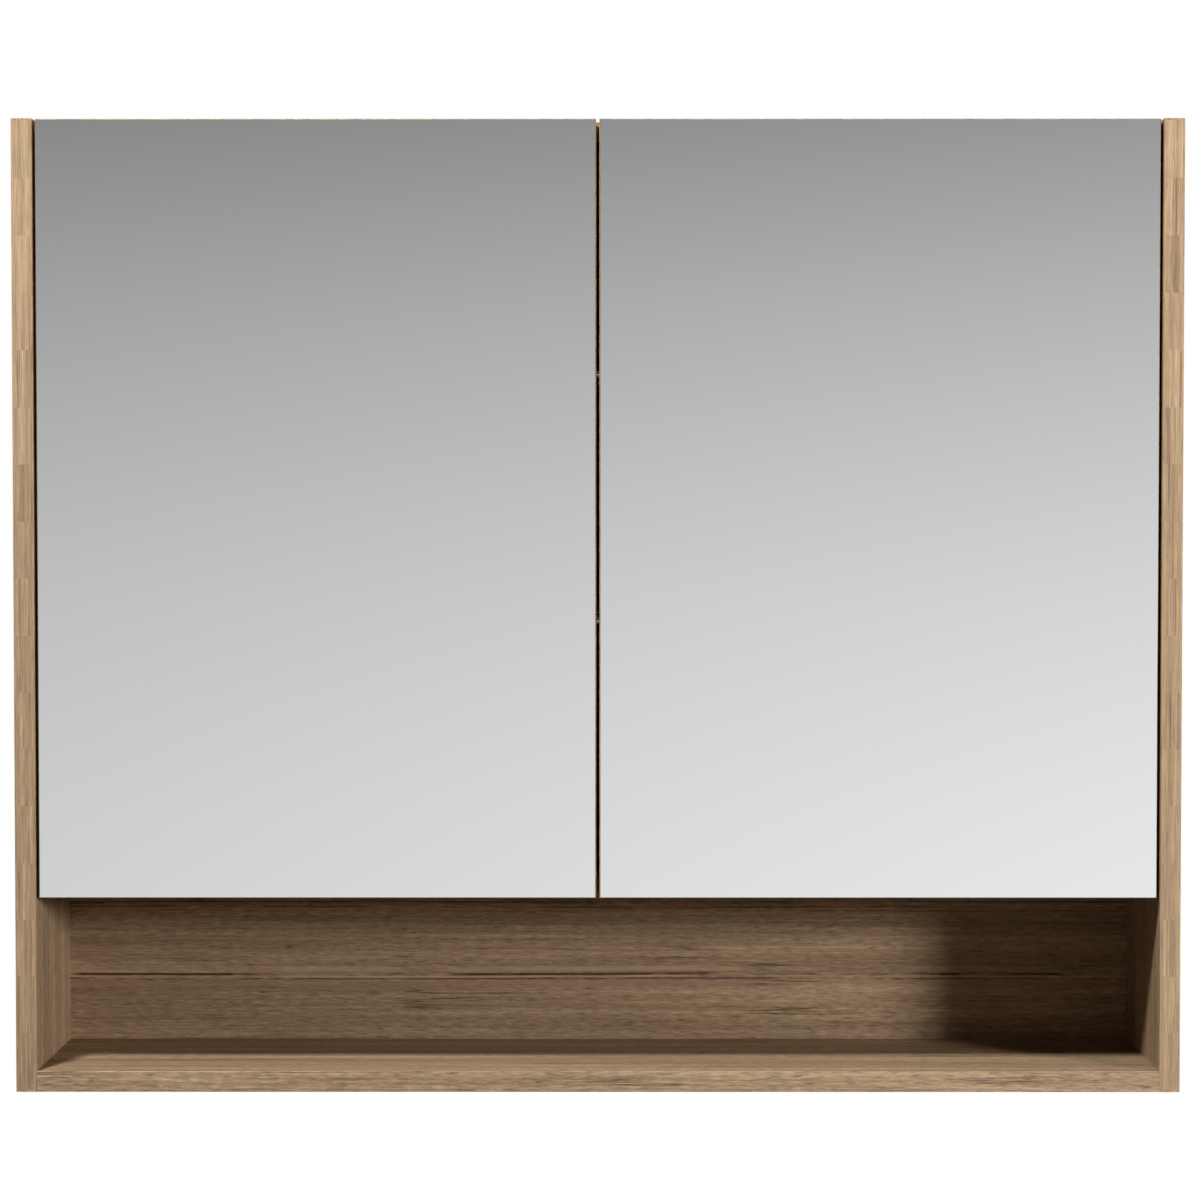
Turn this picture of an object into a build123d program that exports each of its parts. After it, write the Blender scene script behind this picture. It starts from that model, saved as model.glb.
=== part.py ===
from build123d import *
import os

# A wall-hung shaving cabinet: two mirror doors over an open niche, in millimetres.
# X runs to the viewer's right, Y runs into the wall and Z is up.
# The origin is the centre of the four wall screw holes, on the wall plane.

# Cabinet
cabinet_width = 900
cabinet_height = 750
cabinet_depth = 150
board = 16
back_board = 6
edging = 1
edging_round = 0.5

# Doors, which hang between the side panels and in front of the other boards
door_height = 600
door_board = 15
tape = 1
mirror_glass = 4
mirror_arris = 1.2
mirror_border = 0.9
side_gap = 2
centre_gap = 2.4
door_clearance = 2
floor_cover = 1.5

# Wall fixing
rail_height = 80
wall_screw_spacing = 700
wall_screw_hole_radius = 3
screw_head_access_radius = 8

# Board joints: cam locks beside wooden dowels
fit = 0.05
cam_inset = 30
cam_reach = 24
cam_radius = 7.5
cam_depth = 13.5
cam_cap = 1
cam_bolt_radius = 2.5
cam_bolt_anchor = 10
cam_neck_radius = 2
cam_head_radius = 3.2
cam_head = 3
dowel_step = 22
dowel_radius = 4
dowel_length = 30
dowel_in_side = 11
dowel_chamfer = 0.8
rail_dowel_inset = 20

# Back panel screws
back_screw_spacing = 180
back_screw_columns = 4
small_screw_radius = 1.75
small_screw_head_radius = 3.5
small_screw_head = 2
back_screw_length = 18
recess_width = 0.9
recess_depth = 0.9

# Glass shelves and the pins they rest on
shelf_glass = 6
shelf_arris = 0.6
shelf_end_gap = 1.5
shelf_front_gap = 6
shelf_back_gap = 2
pin_hole_first = 96
pin_hole_pitch = 32
pin_holes_in_row = 12
lower_shelf_pin_number = 3
upper_shelf_pin_number = 9
pin_radius = 2.5
pin_hole_depth = 11
pin_reach = 9
pin_collar_radius = 4
pin_collar = 0.8
pin_flat = 1.5
pin_row_inset = 20

# Door hardware
tape_width = 19
tape_strips = 4
tape_margin = 30
bumper_radius = 4
bumper_height = 1.7
bumper_inset = 18

# Concealed hinges: four pivots, given as (U, W) with U from the side panel's inner face
# and W from the back of the closed door, positive into the cabinet
hinge_inset = 100
cup_edge = 3.5
cup_radius = 17.5
cup_wall = 0.9
cup_depth = 13.3
cup_floor = 0.7
cup_flange = 1
cup_flange_lip = 1.5
cup_wing_width = 16
cup_wing_length = 62
cup_wing_offset = 5
cup_screw_spacing = 48
cup_screw_length = 12
rim_notch_reach = 2.2
rim_notch_half = 5.6
rim_notch_depth = 1.5
ear_gap = 7
ear_width = 15
ear_height = 9
cup_outer_pin_inset = 6.75
cup_outer_pin_depth = 6.35
cup_inner_pin_inset = 10.7
cup_inner_pin_depth = 8.8
cup_pin_half = 10
hinge_pin_radius = 0.9
arm_outer_pin = (37.9, 16.1)
arm_inner_pin = (34.75, -9.95)
outer_link_bend = (-4.9, -18.6)
outer_link_elbow = (-6.2, -20.2)
link_half_width = 1.7
link_barrel_radius = 2.6
outer_link_inner_z = 3.6
outer_link_outer_z = 5.2
inner_link_half = 3.3
open_pivot_play = 1.05
open_pivot_offset = (0.2, -0.87)
open_pivot_wall = 0.7
arm_inner_z = 5.5
arm_outer_z = 6.7
arm_nose_radius = 1.6
arm_shoulder_radius = 2.2
arm_crank_w = 32
arm_length = 36
arm_half_width = 5
arm_stand_off = 3
arm_web = 1.2
arm_web_start = 6
plate_base = 2.2
plate_spine_half = 8
plate_wing_width = 14
plate_wing_length = 46
plate_wing_w = 38
plate_rail_half = 5.3
plate_rail_clearance = 6
plate_screw_spacing = 32
plate_screw_length = 14
adjuster_ws = (44, 60)
adjuster_head_radius = 3
adjuster_head = 1.6
adjuster_radius = 2
adjuster_length = 9

# Main planes
half_width = cabinet_width / 2
inner_half = half_width - board
front_y = -cabinet_depth
door_back_y = front_y + mirror_glass + tape + door_board
carcass_front_y = door_back_y + door_clearance
back_front_y = -board - back_board
top_z = (door_height - floor_cover) / 2
bottom_z = top_z - cabinet_height
ceiling_z = top_z - board
door_bottom_z = top_z - door_height
floor_bottom_z = door_bottom_z + floor_cover
floor_top_z = floor_bottom_z + board
niche_floor_z = bottom_z + board
upper_rail_z = ceiling_z - rail_height / 2
lower_rail_z = floor_top_z + rail_height / 2
door_outer_x = inner_half - side_gap
door_inner_x = centre_gap / 2

# Joint positions on the inner face of a side panel, as (Y, Z)
board_mid_zs = (bottom_z + board / 2, floor_bottom_z + board / 2, top_z - board / 2)
cam_ys = (carcass_front_y + cam_inset, -cam_inset)
board_dowel_ys = (cam_ys[0] + dowel_step, cam_ys[1] - dowel_step)
rail_dowel_zs = (
    lower_rail_z - rail_dowel_inset,
    lower_rail_z + rail_dowel_inset,
    upper_rail_z - rail_dowel_inset,
    upper_rail_z + rail_dowel_inset,
)
niche_dowel_zs = (niche_floor_z + cam_inset, floor_bottom_z - cam_inset)
cam_points = [(y, z) for z in board_mid_zs for y in cam_ys]
board_dowel_points = [(y, z) for z in board_mid_zs for y in board_dowel_ys]
upright_dowel_points = [(-board / 2, z) for z in rail_dowel_zs + niche_dowel_zs]

# Hinge heights and the plate screws on a side panel, as (Y, Z)
hinge_zs = {"lower": door_bottom_z + hinge_inset, "upper": top_z - hinge_inset}
plate_screw_points = [
    (door_back_y + plate_wing_w, z + step * plate_screw_spacing / 2)
    for z in hinge_zs.values()
    for step in (-1, 1)
]

# Shelf pin holes, as (Y, Z)
shelf_front_y = carcass_front_y + shelf_front_gap
shelf_back_y = back_front_y - shelf_back_gap
pin_ys = (shelf_front_y + pin_row_inset, shelf_back_y - pin_row_inset)
first_pin_z = floor_top_z + pin_hole_first
pin_zs = [first_pin_z + pin_hole_pitch * n for n in range(pin_holes_in_row)]
shelf_pin_zs = {
    "lower_glass_shelf": first_pin_z + pin_hole_pitch * lower_shelf_pin_number,
    "upper_glass_shelf": first_pin_z + pin_hole_pitch * upper_shelf_pin_number,
}

os.makedirs("parts", exist_ok=True)


def write_piece(builder, name):
    """Label a finished piece and write it as its own STEP file."""
    builder.part.label = name
    export_step(builder.part, f"parts/{name}.step")


def slab(x_limits, y_limits, z_limits, mode=Mode.ADD):
    """Add or cut a rectangular block between three pairs of limits."""
    with BuildSketch(Plane.XY.offset(z_limits[0])) as outline:
        with Locations(((x_limits[0] + x_limits[1]) / 2, (y_limits[0] + y_limits[1]) / 2)):
            Rectangle(x_limits[1] - x_limits[0], y_limits[1] - y_limits[0])
    extrude(outline.sketch, amount=z_limits[1] - z_limits[0], mode=mode)


def bore(plane, points, radius, depth):
    """Cut blind round holes from a plane along its normal."""
    with BuildSketch(plane) as holes:
        with Locations(*points):
            Circle(radius)
    extrude(holes.sketch, amount=depth, mode=Mode.SUBTRACT)


def bore_ends(points, radius, depth):
    """Cut the same holes into both ends of a board that spans the cabinet."""
    bore(Plane.YZ.offset(-inner_half), points, radius, depth)
    bore(Plane.YZ.offset(inner_half), points, radius, -depth)


# Side panels
with BuildPart() as left_side_panel:
    slab((-half_width, -inner_half), (front_y + edging, 0), (bottom_z + edging, top_z - edging))
    inner_face = Plane.YZ.offset(-inner_half)
    bore(inner_face, cam_points, cam_bolt_radius, -cam_bolt_anchor)
    bore(inner_face, board_dowel_points, dowel_radius + fit, -dowel_in_side - fit)
    bore(inner_face, upright_dowel_points, dowel_radius + fit, -dowel_in_side - fit)
    bore(inner_face, [(y, z) for y in pin_ys for z in pin_zs], pin_radius, -pin_hole_depth)
    bore(inner_face, plate_screw_points, small_screw_radius, plate_base - plate_screw_length)
write_piece(left_side_panel, "left_side_panel")

with BuildPart() as right_side_panel:
    mirror(left_side_panel.part, about=Plane.YZ)
write_piece(right_side_panel, "right_side_panel")


# Boards between the sides, each with its cam pockets in the face that is turned away from view
def spanning_board(z_limits, front_limit, pocket_z, pocket_depth):
    """Add a level board between the sides, bored for its cam locks and dowels."""
    middle_z = (z_limits[0] + z_limits[1]) / 2
    slab((-inner_half, inner_half), (front_limit, 0), z_limits)
    bore_ends([(y, middle_z) for y in cam_ys], cam_head_radius + 2 * fit, cam_reach)
    bore_ends([(y, middle_z) for y in board_dowel_ys], dowel_radius + fit, dowel_length - dowel_in_side + fit)
    pockets = [(side * (inner_half - cam_reach), y) for side in (-1, 1) for y in cam_ys]
    bore(Plane.XY.offset(pocket_z), pockets, cam_radius, pocket_depth)


with BuildPart() as top_panel:
    spanning_board((ceiling_z, top_z), carcass_front_y + edging, ceiling_z, cam_depth)
write_piece(top_panel, "top_panel")

with BuildPart() as compartment_floor:
    spanning_board((floor_bottom_z, floor_top_z), carcass_front_y + edging, floor_top_z, -cam_depth)
write_piece(compartment_floor, "compartment_floor")

with BuildPart() as bottom_panel:
    spanning_board((bottom_z, niche_floor_z), front_y + edging, bottom_z, cam_depth)
write_piece(bottom_panel, "bottom_panel")


# Upright boards against the wall
def wall_board(z_limits, dowel_zs):
    """Add an upright board on the wall plane, bored for its end dowels."""
    slab((-inner_half, inner_half), (-board, 0), z_limits)
    bore_ends([(-board / 2, z) for z in dowel_zs], dowel_radius + fit, dowel_length - dowel_in_side + fit)


with BuildPart() as niche_back:
    wall_board((niche_floor_z, floor_bottom_z), niche_dowel_zs)
write_piece(niche_back, "niche_back")

wall_plane = Plane.XZ
back_screw_xs = [(n - (back_screw_columns - 1) / 2) * back_screw_spacing for n in range(back_screw_columns)]

with BuildPart() as lower_hanging_rail:
    wall_board((lower_rail_z - rail_height / 2, lower_rail_z + rail_height / 2), rail_dowel_zs[:2])
    wall_holes = [(x, lower_rail_z) for x in (-wall_screw_spacing / 2, wall_screw_spacing / 2)]
    bore(wall_plane, wall_holes, wall_screw_hole_radius, board)
    pilot_holes = [(x, lower_rail_z) for x in back_screw_xs]
    bore(wall_plane.offset(board), pilot_holes, small_screw_radius, back_board - back_screw_length)
write_piece(lower_hanging_rail, "lower_hanging_rail")

with BuildPart() as upper_hanging_rail:
    with Locations((0, 0, upper_rail_z - lower_rail_z)):
        add(lower_hanging_rail.part)
write_piece(upper_hanging_rail, "upper_hanging_rail")

with BuildPart() as compartment_back:
    slab((-inner_half, inner_half), (back_front_y, -board), (floor_top_z, ceiling_z))
    back_plane = wall_plane.offset(-back_front_y)
    access_holes = GridLocations(wall_screw_spacing, upper_rail_z - lower_rail_z, 2, 2)
    with BuildSketch(back_plane) as access:
        with access_holes:
            Circle(screw_head_access_radius)
    extrude(access.sketch, amount=-back_board, mode=Mode.SUBTRACT)
    with Locations(back_plane):
        with GridLocations(back_screw_spacing, upper_rail_z - lower_rail_z, back_screw_columns, 2):
            CounterSinkHole(small_screw_radius, small_screw_head_radius, back_board)
write_piece(compartment_back, "compartment_back")

# Edging strips, with the long outer corners rounded
with BuildPart() as left_side_edging:
    slab((-half_width, -inner_half), (front_y, front_y + edging), (bottom_z, top_z))
    fillet(left_side_edging.faces().sort_by(Axis.Y)[0].edges().filter_by(Axis.Z), edging_round)
write_piece(left_side_edging, "left_side_edging")

with BuildPart() as right_side_edging:
    mirror(left_side_edging.part, about=Plane.YZ)
write_piece(right_side_edging, "right_side_edging")

with BuildPart() as side_end_edging:
    for z in (bottom_z, top_z - edging):
        for x in (-half_width, inner_half):
            slab((x, x + board), (front_y + edging, 0), (z, z + edging))
write_piece(side_end_edging, "side_end_edging")

with BuildPart() as bottom_panel_edging:
    slab((-inner_half, inner_half), (front_y, front_y + edging), (bottom_z, niche_floor_z))
    fillet(bottom_panel_edging.faces().sort_by(Axis.Y)[0].edges().filter_by(Axis.X), edging_round)
write_piece(bottom_panel_edging, "bottom_panel_edging")

with BuildPart() as compartment_edging:
    for z in (ceiling_z, floor_bottom_z):
        slab((-inner_half, inner_half), (carcass_front_y, carcass_front_y + edging), (z, z + board))
write_piece(compartment_edging, "compartment_edging")

# Cam locks: a housing in each pocket, a bolt from the side panel and a flush cap
cam_length = cam_depth - cam_cap - fit
cam_axis_depth = board / 2

with BuildPart() as cam_housing:
    with BuildSketch(Plane.XY.offset(cam_cap)):
        Circle(cam_radius - fit)
    extrude(amount=cam_length)
    with BuildSketch(Plane.YZ.offset(-cam_radius)):
        with Locations((0, cam_axis_depth)):
            Circle(cam_head_radius + fit)
    extrude(amount=cam_radius + cam_head, mode=Mode.SUBTRACT)
    with BuildSketch(Plane.XY.offset(cam_cap)):
        Rectangle(cam_radius, recess_width * 2)
        Rectangle(recess_width * 2, cam_radius)
    extrude(amount=recess_depth, mode=Mode.SUBTRACT)

with BuildPart() as cam_bolt:
    with BuildSketch(Plane.YZ.offset(-cam_bolt_anchor + fit)):
        Circle(cam_bolt_radius - fit)
    extrude(amount=cam_bolt_anchor - fit)
    with BuildSketch(Plane.YZ):
        Circle(cam_neck_radius)
    extrude(amount=cam_reach - cam_head)
    with BuildSketch(Plane.YZ.offset(cam_reach - cam_head)):
        Circle(cam_head_radius)
    extrude(amount=cam_head)
    chamfer(cam_bolt.faces().sort_by(Axis.X)[-1].edges(), cam_head / 4)
    chamfer(cam_bolt.faces().sort_by(Axis.X)[0].edges(), cam_bolt_radius / 4)

with BuildPart() as cam_cap_disc:
    with BuildSketch(Plane.XY):
        Circle(cam_radius - fit)
    extrude(amount=cam_cap)

# Each pocket opens downward at its board's underside, or upward at the compartment floor's top
cam_places = []
for pocket_z, flip in ((bottom_z, 0), (floor_top_z, 180), (ceiling_z, 0)):
    for y in cam_ys:
        cam_places.append(Location((-inner_half + cam_reach, y, pocket_z), (flip, 0, 0)))

with BuildPart() as cam_housings:
    with Locations(*cam_places):
        add(cam_housing.part)
    mirror(cam_housings.part, about=Plane.YZ)
write_piece(cam_housings, "cam_housings")

with BuildPart() as cam_caps:
    with Locations(*cam_places):
        add(cam_cap_disc.part)
    mirror(cam_caps.part, about=Plane.YZ)
write_piece(cam_caps, "cam_caps")

with BuildPart() as cam_bolts:
    with Locations(*[(-inner_half, y, z) for y, z in cam_points]):
        add(cam_bolt.part)
    mirror(cam_bolts.part, about=Plane.YZ)
write_piece(cam_bolts, "cam_bolts")

with BuildPart() as dowel:
    with BuildSketch(Plane.YZ.offset(-dowel_in_side)):
        Circle(dowel_radius)
    extrude(amount=dowel_length)
    chamfer(dowel.edges().filter_by(GeomType.CIRCLE), dowel_chamfer)

with BuildPart() as dowels:
    with Locations(*[(-inner_half, y, z) for y, z in board_dowel_points + upright_dowel_points]):
        add(dowel.part)
    mirror(dowels.part, about=Plane.YZ)
write_piece(dowels, "dowels")


def countersunk_screw(length):
    """Add a small screw along +Z whose flat head is at Z = 0, with a crossed recess."""
    shank_radius = small_screw_radius - fit
    head_radius = small_screw_head_radius - fit
    with BuildSketch(Plane.XZ) as profile:
        with BuildLine():
            Polyline(
                (0, 0),
                (head_radius, 0),
                (shank_radius, small_screw_head),
                (shank_radius, length - shank_radius),
                (0, length),
                close=True,
            )
        make_face()
    revolve(profile.sketch, axis=Axis.Z)
    with BuildSketch() as recess:
        Rectangle(head_radius, recess_width)
        Rectangle(recess_width, head_radius)
    extrude(recess.sketch, amount=recess_depth, mode=Mode.SUBTRACT)


with BuildPart() as back_screw:
    countersunk_screw(back_screw_length)

into_wall = (-90, 0, 0)
with BuildPart() as back_screws:
    for z in (lower_rail_z, upper_rail_z):
        with Locations(*[Location((x, back_front_y, z), into_wall) for x in back_screw_xs]):
            add(back_screw.part)
write_piece(back_screws, "back_screws")

# Glass shelves on flat-topped pins
shelf_half = inner_half - shelf_end_gap
for name, pin_z in shelf_pin_zs.items():
    with BuildPart() as glass_shelf:
        underside = pin_z + pin_flat
        slab((-shelf_half, shelf_half), (shelf_front_y, shelf_back_y), (underside, underside + shelf_glass))
        chamfer(glass_shelf.edges().filter_by(Axis.X), shelf_arris)
    write_piece(glass_shelf, name)

with BuildPart() as shelf_pin:
    with BuildSketch(Plane.YZ.offset(-pin_hole_depth + fit)):
        Circle(pin_radius - fit)
    extrude(amount=pin_hole_depth - fit)
    with BuildSketch(Plane.YZ):
        Circle(pin_collar_radius)
    extrude(amount=pin_collar)
    with BuildSketch(Plane.YZ):
        Circle(pin_radius - fit)
    extrude(amount=pin_reach)
    with BuildSketch(Plane.XY.offset(pin_flat)):
        with Locations((pin_reach / 2 + pin_collar, 0)):
            Rectangle(pin_reach, 2 * pin_collar_radius)
    extrude(amount=pin_collar_radius, mode=Mode.SUBTRACT)

with BuildPart() as shelf_pins:
    for z in shelf_pin_zs.values():
        with Locations(*[(-inner_half, y, z) for y in pin_ys]):
            add(shelf_pin.part)
    mirror(shelf_pins.part, about=Plane.YZ)
write_piece(shelf_pins, "shelf_pins")

# Doors: the left one is drawn, and the right one mirrors it
board_outer_x = door_outer_x - edging
board_inner_x = door_inner_x + edging
mirror_outer_x = door_outer_x - mirror_border
mirror_inner_x = door_inner_x + mirror_border
door_mid_x = -(door_outer_x + door_inner_x) / 2
door_mid_z = (top_z + door_bottom_z) / 2
door_face_y = door_back_y - door_board
door_back_plane = wall_plane.offset(-door_back_y)

with BuildPart() as left_mirror:
    mirror_zs = (door_bottom_z + mirror_border, top_z - mirror_border)
    slab((-mirror_outer_x, -mirror_inner_x), (front_y, front_y + mirror_glass), mirror_zs)
    chamfer(left_mirror.faces().sort_by(Axis.Y)[0].edges(), mirror_arris)

tape_pitch = (mirror_outer_x - mirror_inner_x - 2 * tape_margin - tape_width) / (tape_strips - 1)
with BuildPart() as left_mirror_tape:
    with BuildSketch(wall_plane.offset(-front_y - mirror_glass)):
        with Locations((door_mid_x, door_mid_z)):
            with GridLocations(tape_pitch, 0, tape_strips, 1):
                Rectangle(tape_width, door_height - 2 * tape_margin)
    extrude(amount=-tape)

with BuildPart() as left_door_edging:
    for x in (-door_outer_x, -door_inner_x - edging):
        slab((x, x + edging), (door_face_y, door_back_y), (door_bottom_z, top_z))
    for z in (door_bottom_z, top_z - edging):
        slab((fit - board_outer_x, -board_inner_x - fit), (door_face_y, door_back_y), (z, z + edging))

with BuildPart() as left_door_bumpers:
    with BuildSketch(door_back_plane):
        with Locations(
            (-door_inner_x - bumper_inset, floor_bottom_z + board / 2),
            (-door_inner_x - bumper_inset, top_z - board / 2),
        ):
            Circle(bumper_radius)
    extrude(amount=-bumper_height)
    fillet(left_door_bumpers.faces().sort_by(Axis.Y)[-1].edges(), bumper_height / 2)

# Hinge cup, drawn like every hinge piece for the left door at U = 0, W = 0 and Z = 0
cup_u = side_gap + cup_edge + cup_radius
cup_outer_pin = (cup_u - cup_radius + cup_outer_pin_inset, -cup_outer_pin_depth)
cup_inner_pin = (cup_u - cup_radius + cup_inner_pin_inset, -cup_inner_pin_depth)
cup_bore = cup_radius - cup_wall
cup_screw_places = [(cup_u + cup_wing_offset, step * cup_screw_spacing / 2) for step in (-1, 1)]
facing_wall = Plane(origin=(0, 0, 0), x_dir=(1, 0, 0), z_dir=(0, 1, 0))
cup_mouth = facing_wall.offset(cup_flange)


def add_screw_holes(plane, points, length):
    """Cut the shape of a small countersunk screw, point first into a plane."""
    with Locations(plane):
        with Locations(*points):
            CounterSinkHole(small_screw_radius, small_screw_head_radius, length)


with BuildPart() as hinge_cup:
    with BuildSketch(Plane.XZ):
        with Locations((cup_u, 0)):
            Circle(cup_radius + cup_flange_lip)
        with Locations((cup_u + cup_wing_offset, 0)):
            SlotOverall(cup_wing_length, cup_wing_width, rotation=90)
    extrude(amount=-cup_flange)
    with BuildSketch(Plane.XZ):
        with Locations((cup_u, 0)):
            Circle(cup_radius - fit)
    extrude(amount=cup_depth - fit)
    with BuildSketch(cup_mouth):
        with Locations((cup_u, 0)):
            Circle(cup_bore)
    extrude(amount=cup_floor - cup_depth - cup_flange, mode=Mode.SUBTRACT)
    rim_us = (cup_u - cup_radius - cup_flange_lip, cup_u - cup_radius + rim_notch_reach)
    notch_zs = (-rim_notch_half, rim_notch_half)
    slab(rim_us, (-rim_notch_depth, cup_flange), notch_zs, mode=Mode.SUBTRACT)
    with BuildSketch(Plane.XZ.offset(cup_depth - cup_floor - fit)):
        with Locations((cup_u, 0)):
            Circle(cup_radius - cup_wall / 2)
            Rectangle(2 * cup_radius, 2 * ear_gap, mode=Mode.SUBTRACT)
        with Locations((cup_u - cup_radius + ear_width + cup_radius, 0)):
            Rectangle(2 * cup_radius, 2 * cup_radius, mode=Mode.SUBTRACT)
    extrude(amount=-ear_height)
    with BuildSketch(Plane.XY.offset(-cup_pin_half)):
        with Locations(cup_outer_pin, cup_inner_pin):
            Circle(hinge_pin_radius)
    extrude(amount=2 * cup_pin_half, mode=Mode.SUBTRACT)
    add_screw_holes(cup_mouth, cup_screw_places, cup_flange)

with BuildPart() as cup_pin_pair:
    with BuildSketch(Plane.XY):
        with Locations(cup_outer_pin, cup_inner_pin):
            Circle(hinge_pin_radius)
    extrude(amount=cup_pin_half, both=True)

with BuildPart() as cup_screw:
    countersunk_screw(cup_screw_length)

with BuildPart() as cup_screw_pair:
    with Locations(*[Location((u, cup_flange, z), (90, 0, 0)) for u, z in cup_screw_places]):
        add(cup_screw.part)


# Links and arm, seen along Z
def bar(start, start_radius, end, end_radius):
    """Add a tapered bar with round ends to the sketch in hand."""
    with BuildSketch(mode=Mode.PRIVATE) as outline:
        with Locations(start):
            Circle(start_radius)
        with Locations(end):
            Circle(end_radius)
        make_hull()
    add(outline.sketch)


def offset_point(start, shift):
    """Return a (U, W) point moved by a shift."""
    return (start[0] + shift[0], start[1] + shift[1])


bend = offset_point(arm_outer_pin, outer_link_bend)
elbow = offset_point(arm_outer_pin, outer_link_elbow)
bridge_end = ((arm_outer_pin[0] + bend[0]) / 2, (arm_outer_pin[1] + bend[1]) / 2)
open_pivot = offset_point(cup_inner_pin, open_pivot_offset)
open_pivot_radius = hinge_pin_radius + open_pivot_play
pin_hole_radius = hinge_pin_radius + fit
crank = (arm_stand_off + arm_half_width, arm_crank_w)
tail = (crank[0], arm_crank_w + arm_length)
web_u = crank[0] + arm_half_width

with BuildPart() as outer_link:
    with BuildSketch(Plane.XY):
        bar(arm_outer_pin, link_barrel_radius, bridge_end, link_half_width)
    extrude(amount=outer_link_outer_z, both=True)
    for z in (outer_link_inner_z, -outer_link_outer_z):
        with BuildSketch(Plane.XY.offset(z)):
            bar(arm_outer_pin, link_barrel_radius, bend, link_half_width)
            bar(bend, link_half_width, elbow, link_half_width)
            bar(elbow, link_half_width, cup_outer_pin, link_half_width)
        extrude(amount=outer_link_outer_z - outer_link_inner_z)
    link_side = Plane.XY.offset(-outer_link_outer_z)
    bore(link_side, [arm_outer_pin, cup_outer_pin], pin_hole_radius, 2 * outer_link_outer_z)

with BuildPart() as inner_link:
    with BuildSketch(Plane.XY):
        bar(arm_inner_pin, link_half_width, open_pivot, link_half_width)
        with Locations(open_pivot):
            Circle(open_pivot_radius + open_pivot_wall)
    extrude(amount=inner_link_half, both=True)
    link_side = Plane.XY.offset(-inner_link_half)
    bore(link_side, [arm_inner_pin], pin_hole_radius, 2 * inner_link_half)
    bore(link_side, [open_pivot], open_pivot_radius, 2 * inner_link_half)

crank_leg = Vector(crank[0] - arm_outer_pin[0], crank[1] - arm_outer_pin[1])
along_leg = crank_leg.normalized()
across_leg = Vector(along_leg.Y, -along_leg.X)
web_start = Vector(*arm_outer_pin) + along_leg * arm_web_start

with BuildPart() as hinge_arm:
    for z in (arm_inner_z, -arm_outer_z):
        with BuildSketch(Plane.XY.offset(z)):
            bar(arm_inner_pin, arm_nose_radius, arm_outer_pin, arm_shoulder_radius)
            bar(arm_outer_pin, arm_shoulder_radius, crank, arm_half_width)
            bar(crank, arm_half_width, tail, arm_half_width)
        extrude(amount=arm_outer_z - arm_inner_z)
    with BuildSketch(Plane.XY.offset(-arm_outer_z)):
        with Locations((web_u - arm_web / 2, crank[1] + arm_length / 2)):
            Rectangle(arm_web, arm_length)
        Polygon(
            web_start + across_leg * arm_shoulder_radius,
            Vector(*crank) + across_leg * arm_half_width,
            Vector(*crank) + across_leg * (arm_half_width - arm_web),
            web_start + across_leg * (arm_shoulder_radius - arm_web),
            align=None,
        )
    extrude(amount=2 * arm_outer_z)
    bore(Plane.XY.offset(-arm_outer_z), [arm_outer_pin, arm_inner_pin], hinge_pin_radius, 2 * arm_outer_z)
    bore(Plane.YZ.offset(web_u), [(w, 0) for w in adjuster_ws], adjuster_radius + fit, -arm_web)

with BuildPart() as arm_pin_pair:
    with BuildSketch(Plane.XY):
        with Locations(arm_outer_pin, arm_inner_pin):
            Circle(hinge_pin_radius)
    extrude(amount=arm_outer_z, both=True)

rail_start = arm_crank_w + plate_rail_clearance
rail_end = tail[1] - fit
wing_start = plate_wing_w - plate_wing_width / 2
with BuildPart() as mounting_plate:
    with BuildSketch(Plane.YZ):
        with Locations((plate_wing_w, 0)):
            SlotOverall(plate_wing_length, plate_wing_width, rotation=90)
        with Locations(((wing_start + rail_end) / 2, 0)):
            Rectangle(rail_end - wing_start, 2 * plate_spine_half)
    extrude(amount=plate_base)
    with BuildSketch(Plane.YZ):
        with Locations(((rail_start + rail_end) / 2, 0)):
            Rectangle(rail_end - rail_start, 2 * plate_rail_half)
    extrude(amount=web_u - arm_web)
    plate_screw_places = [(plate_wing_w, step * plate_screw_spacing / 2) for step in (-1, 1)]
    add_screw_holes(Plane.YZ.offset(plate_base), plate_screw_places, plate_base)
    rail_top = Plane.YZ.offset(web_u - arm_web)
    bore(rail_top, [(w, 0) for w in adjuster_ws], adjuster_radius, arm_web - adjuster_length)

with BuildPart() as plate_screw:
    countersunk_screw(plate_screw_length)

towards_side = (0, -90, 0)
with BuildPart() as plate_screw_pair:
    with Locations(*[Location((plate_base, w, z), towards_side) for w, z in plate_screw_places]):
        add(plate_screw.part)

with BuildPart() as adjuster:
    with BuildSketch(Plane.XY.offset(-adjuster_head)):
        Circle(adjuster_head_radius)
    extrude(amount=adjuster_head)
    with BuildSketch(Plane.XY):
        Circle(adjuster_radius - fit)
    extrude(amount=adjuster_length - fit)
    fillet(adjuster.faces().sort_by(Axis.Z)[0].edges(), adjuster_head / 3)
    with BuildSketch(Plane.XY.offset(-adjuster_head)):
        Rectangle(adjuster_head_radius, recess_width)
        Rectangle(recess_width, adjuster_head_radius)
    extrude(amount=recess_depth, mode=Mode.SUBTRACT)

with BuildPart() as adjuster_pair:
    with Locations(*[Location((web_u, w, 0), towards_side) for w in adjuster_ws]):
        add(adjuster.part)

# Hinge pieces in their places: two hinges on each door
hinge_places = {name: (-inner_half, door_back_y, z) for name, z in hinge_zs.items()}

for name, place in hinge_places.items():
    for kind, source in (
        ("hinge_cup", hinge_cup),
        ("outer_link", outer_link),
        ("inner_link", inner_link),
        ("hinge_arm", hinge_arm),
        ("mounting_plate", mounting_plate),
    ):
        with BuildPart() as left_piece:
            with Locations(place):
                add(source.part)
        write_piece(left_piece, f"left_{name}_{kind}")
        with BuildPart() as right_piece:
            mirror(left_piece.part, about=Plane.YZ)
        write_piece(right_piece, f"right_{name}_{kind}")

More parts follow.
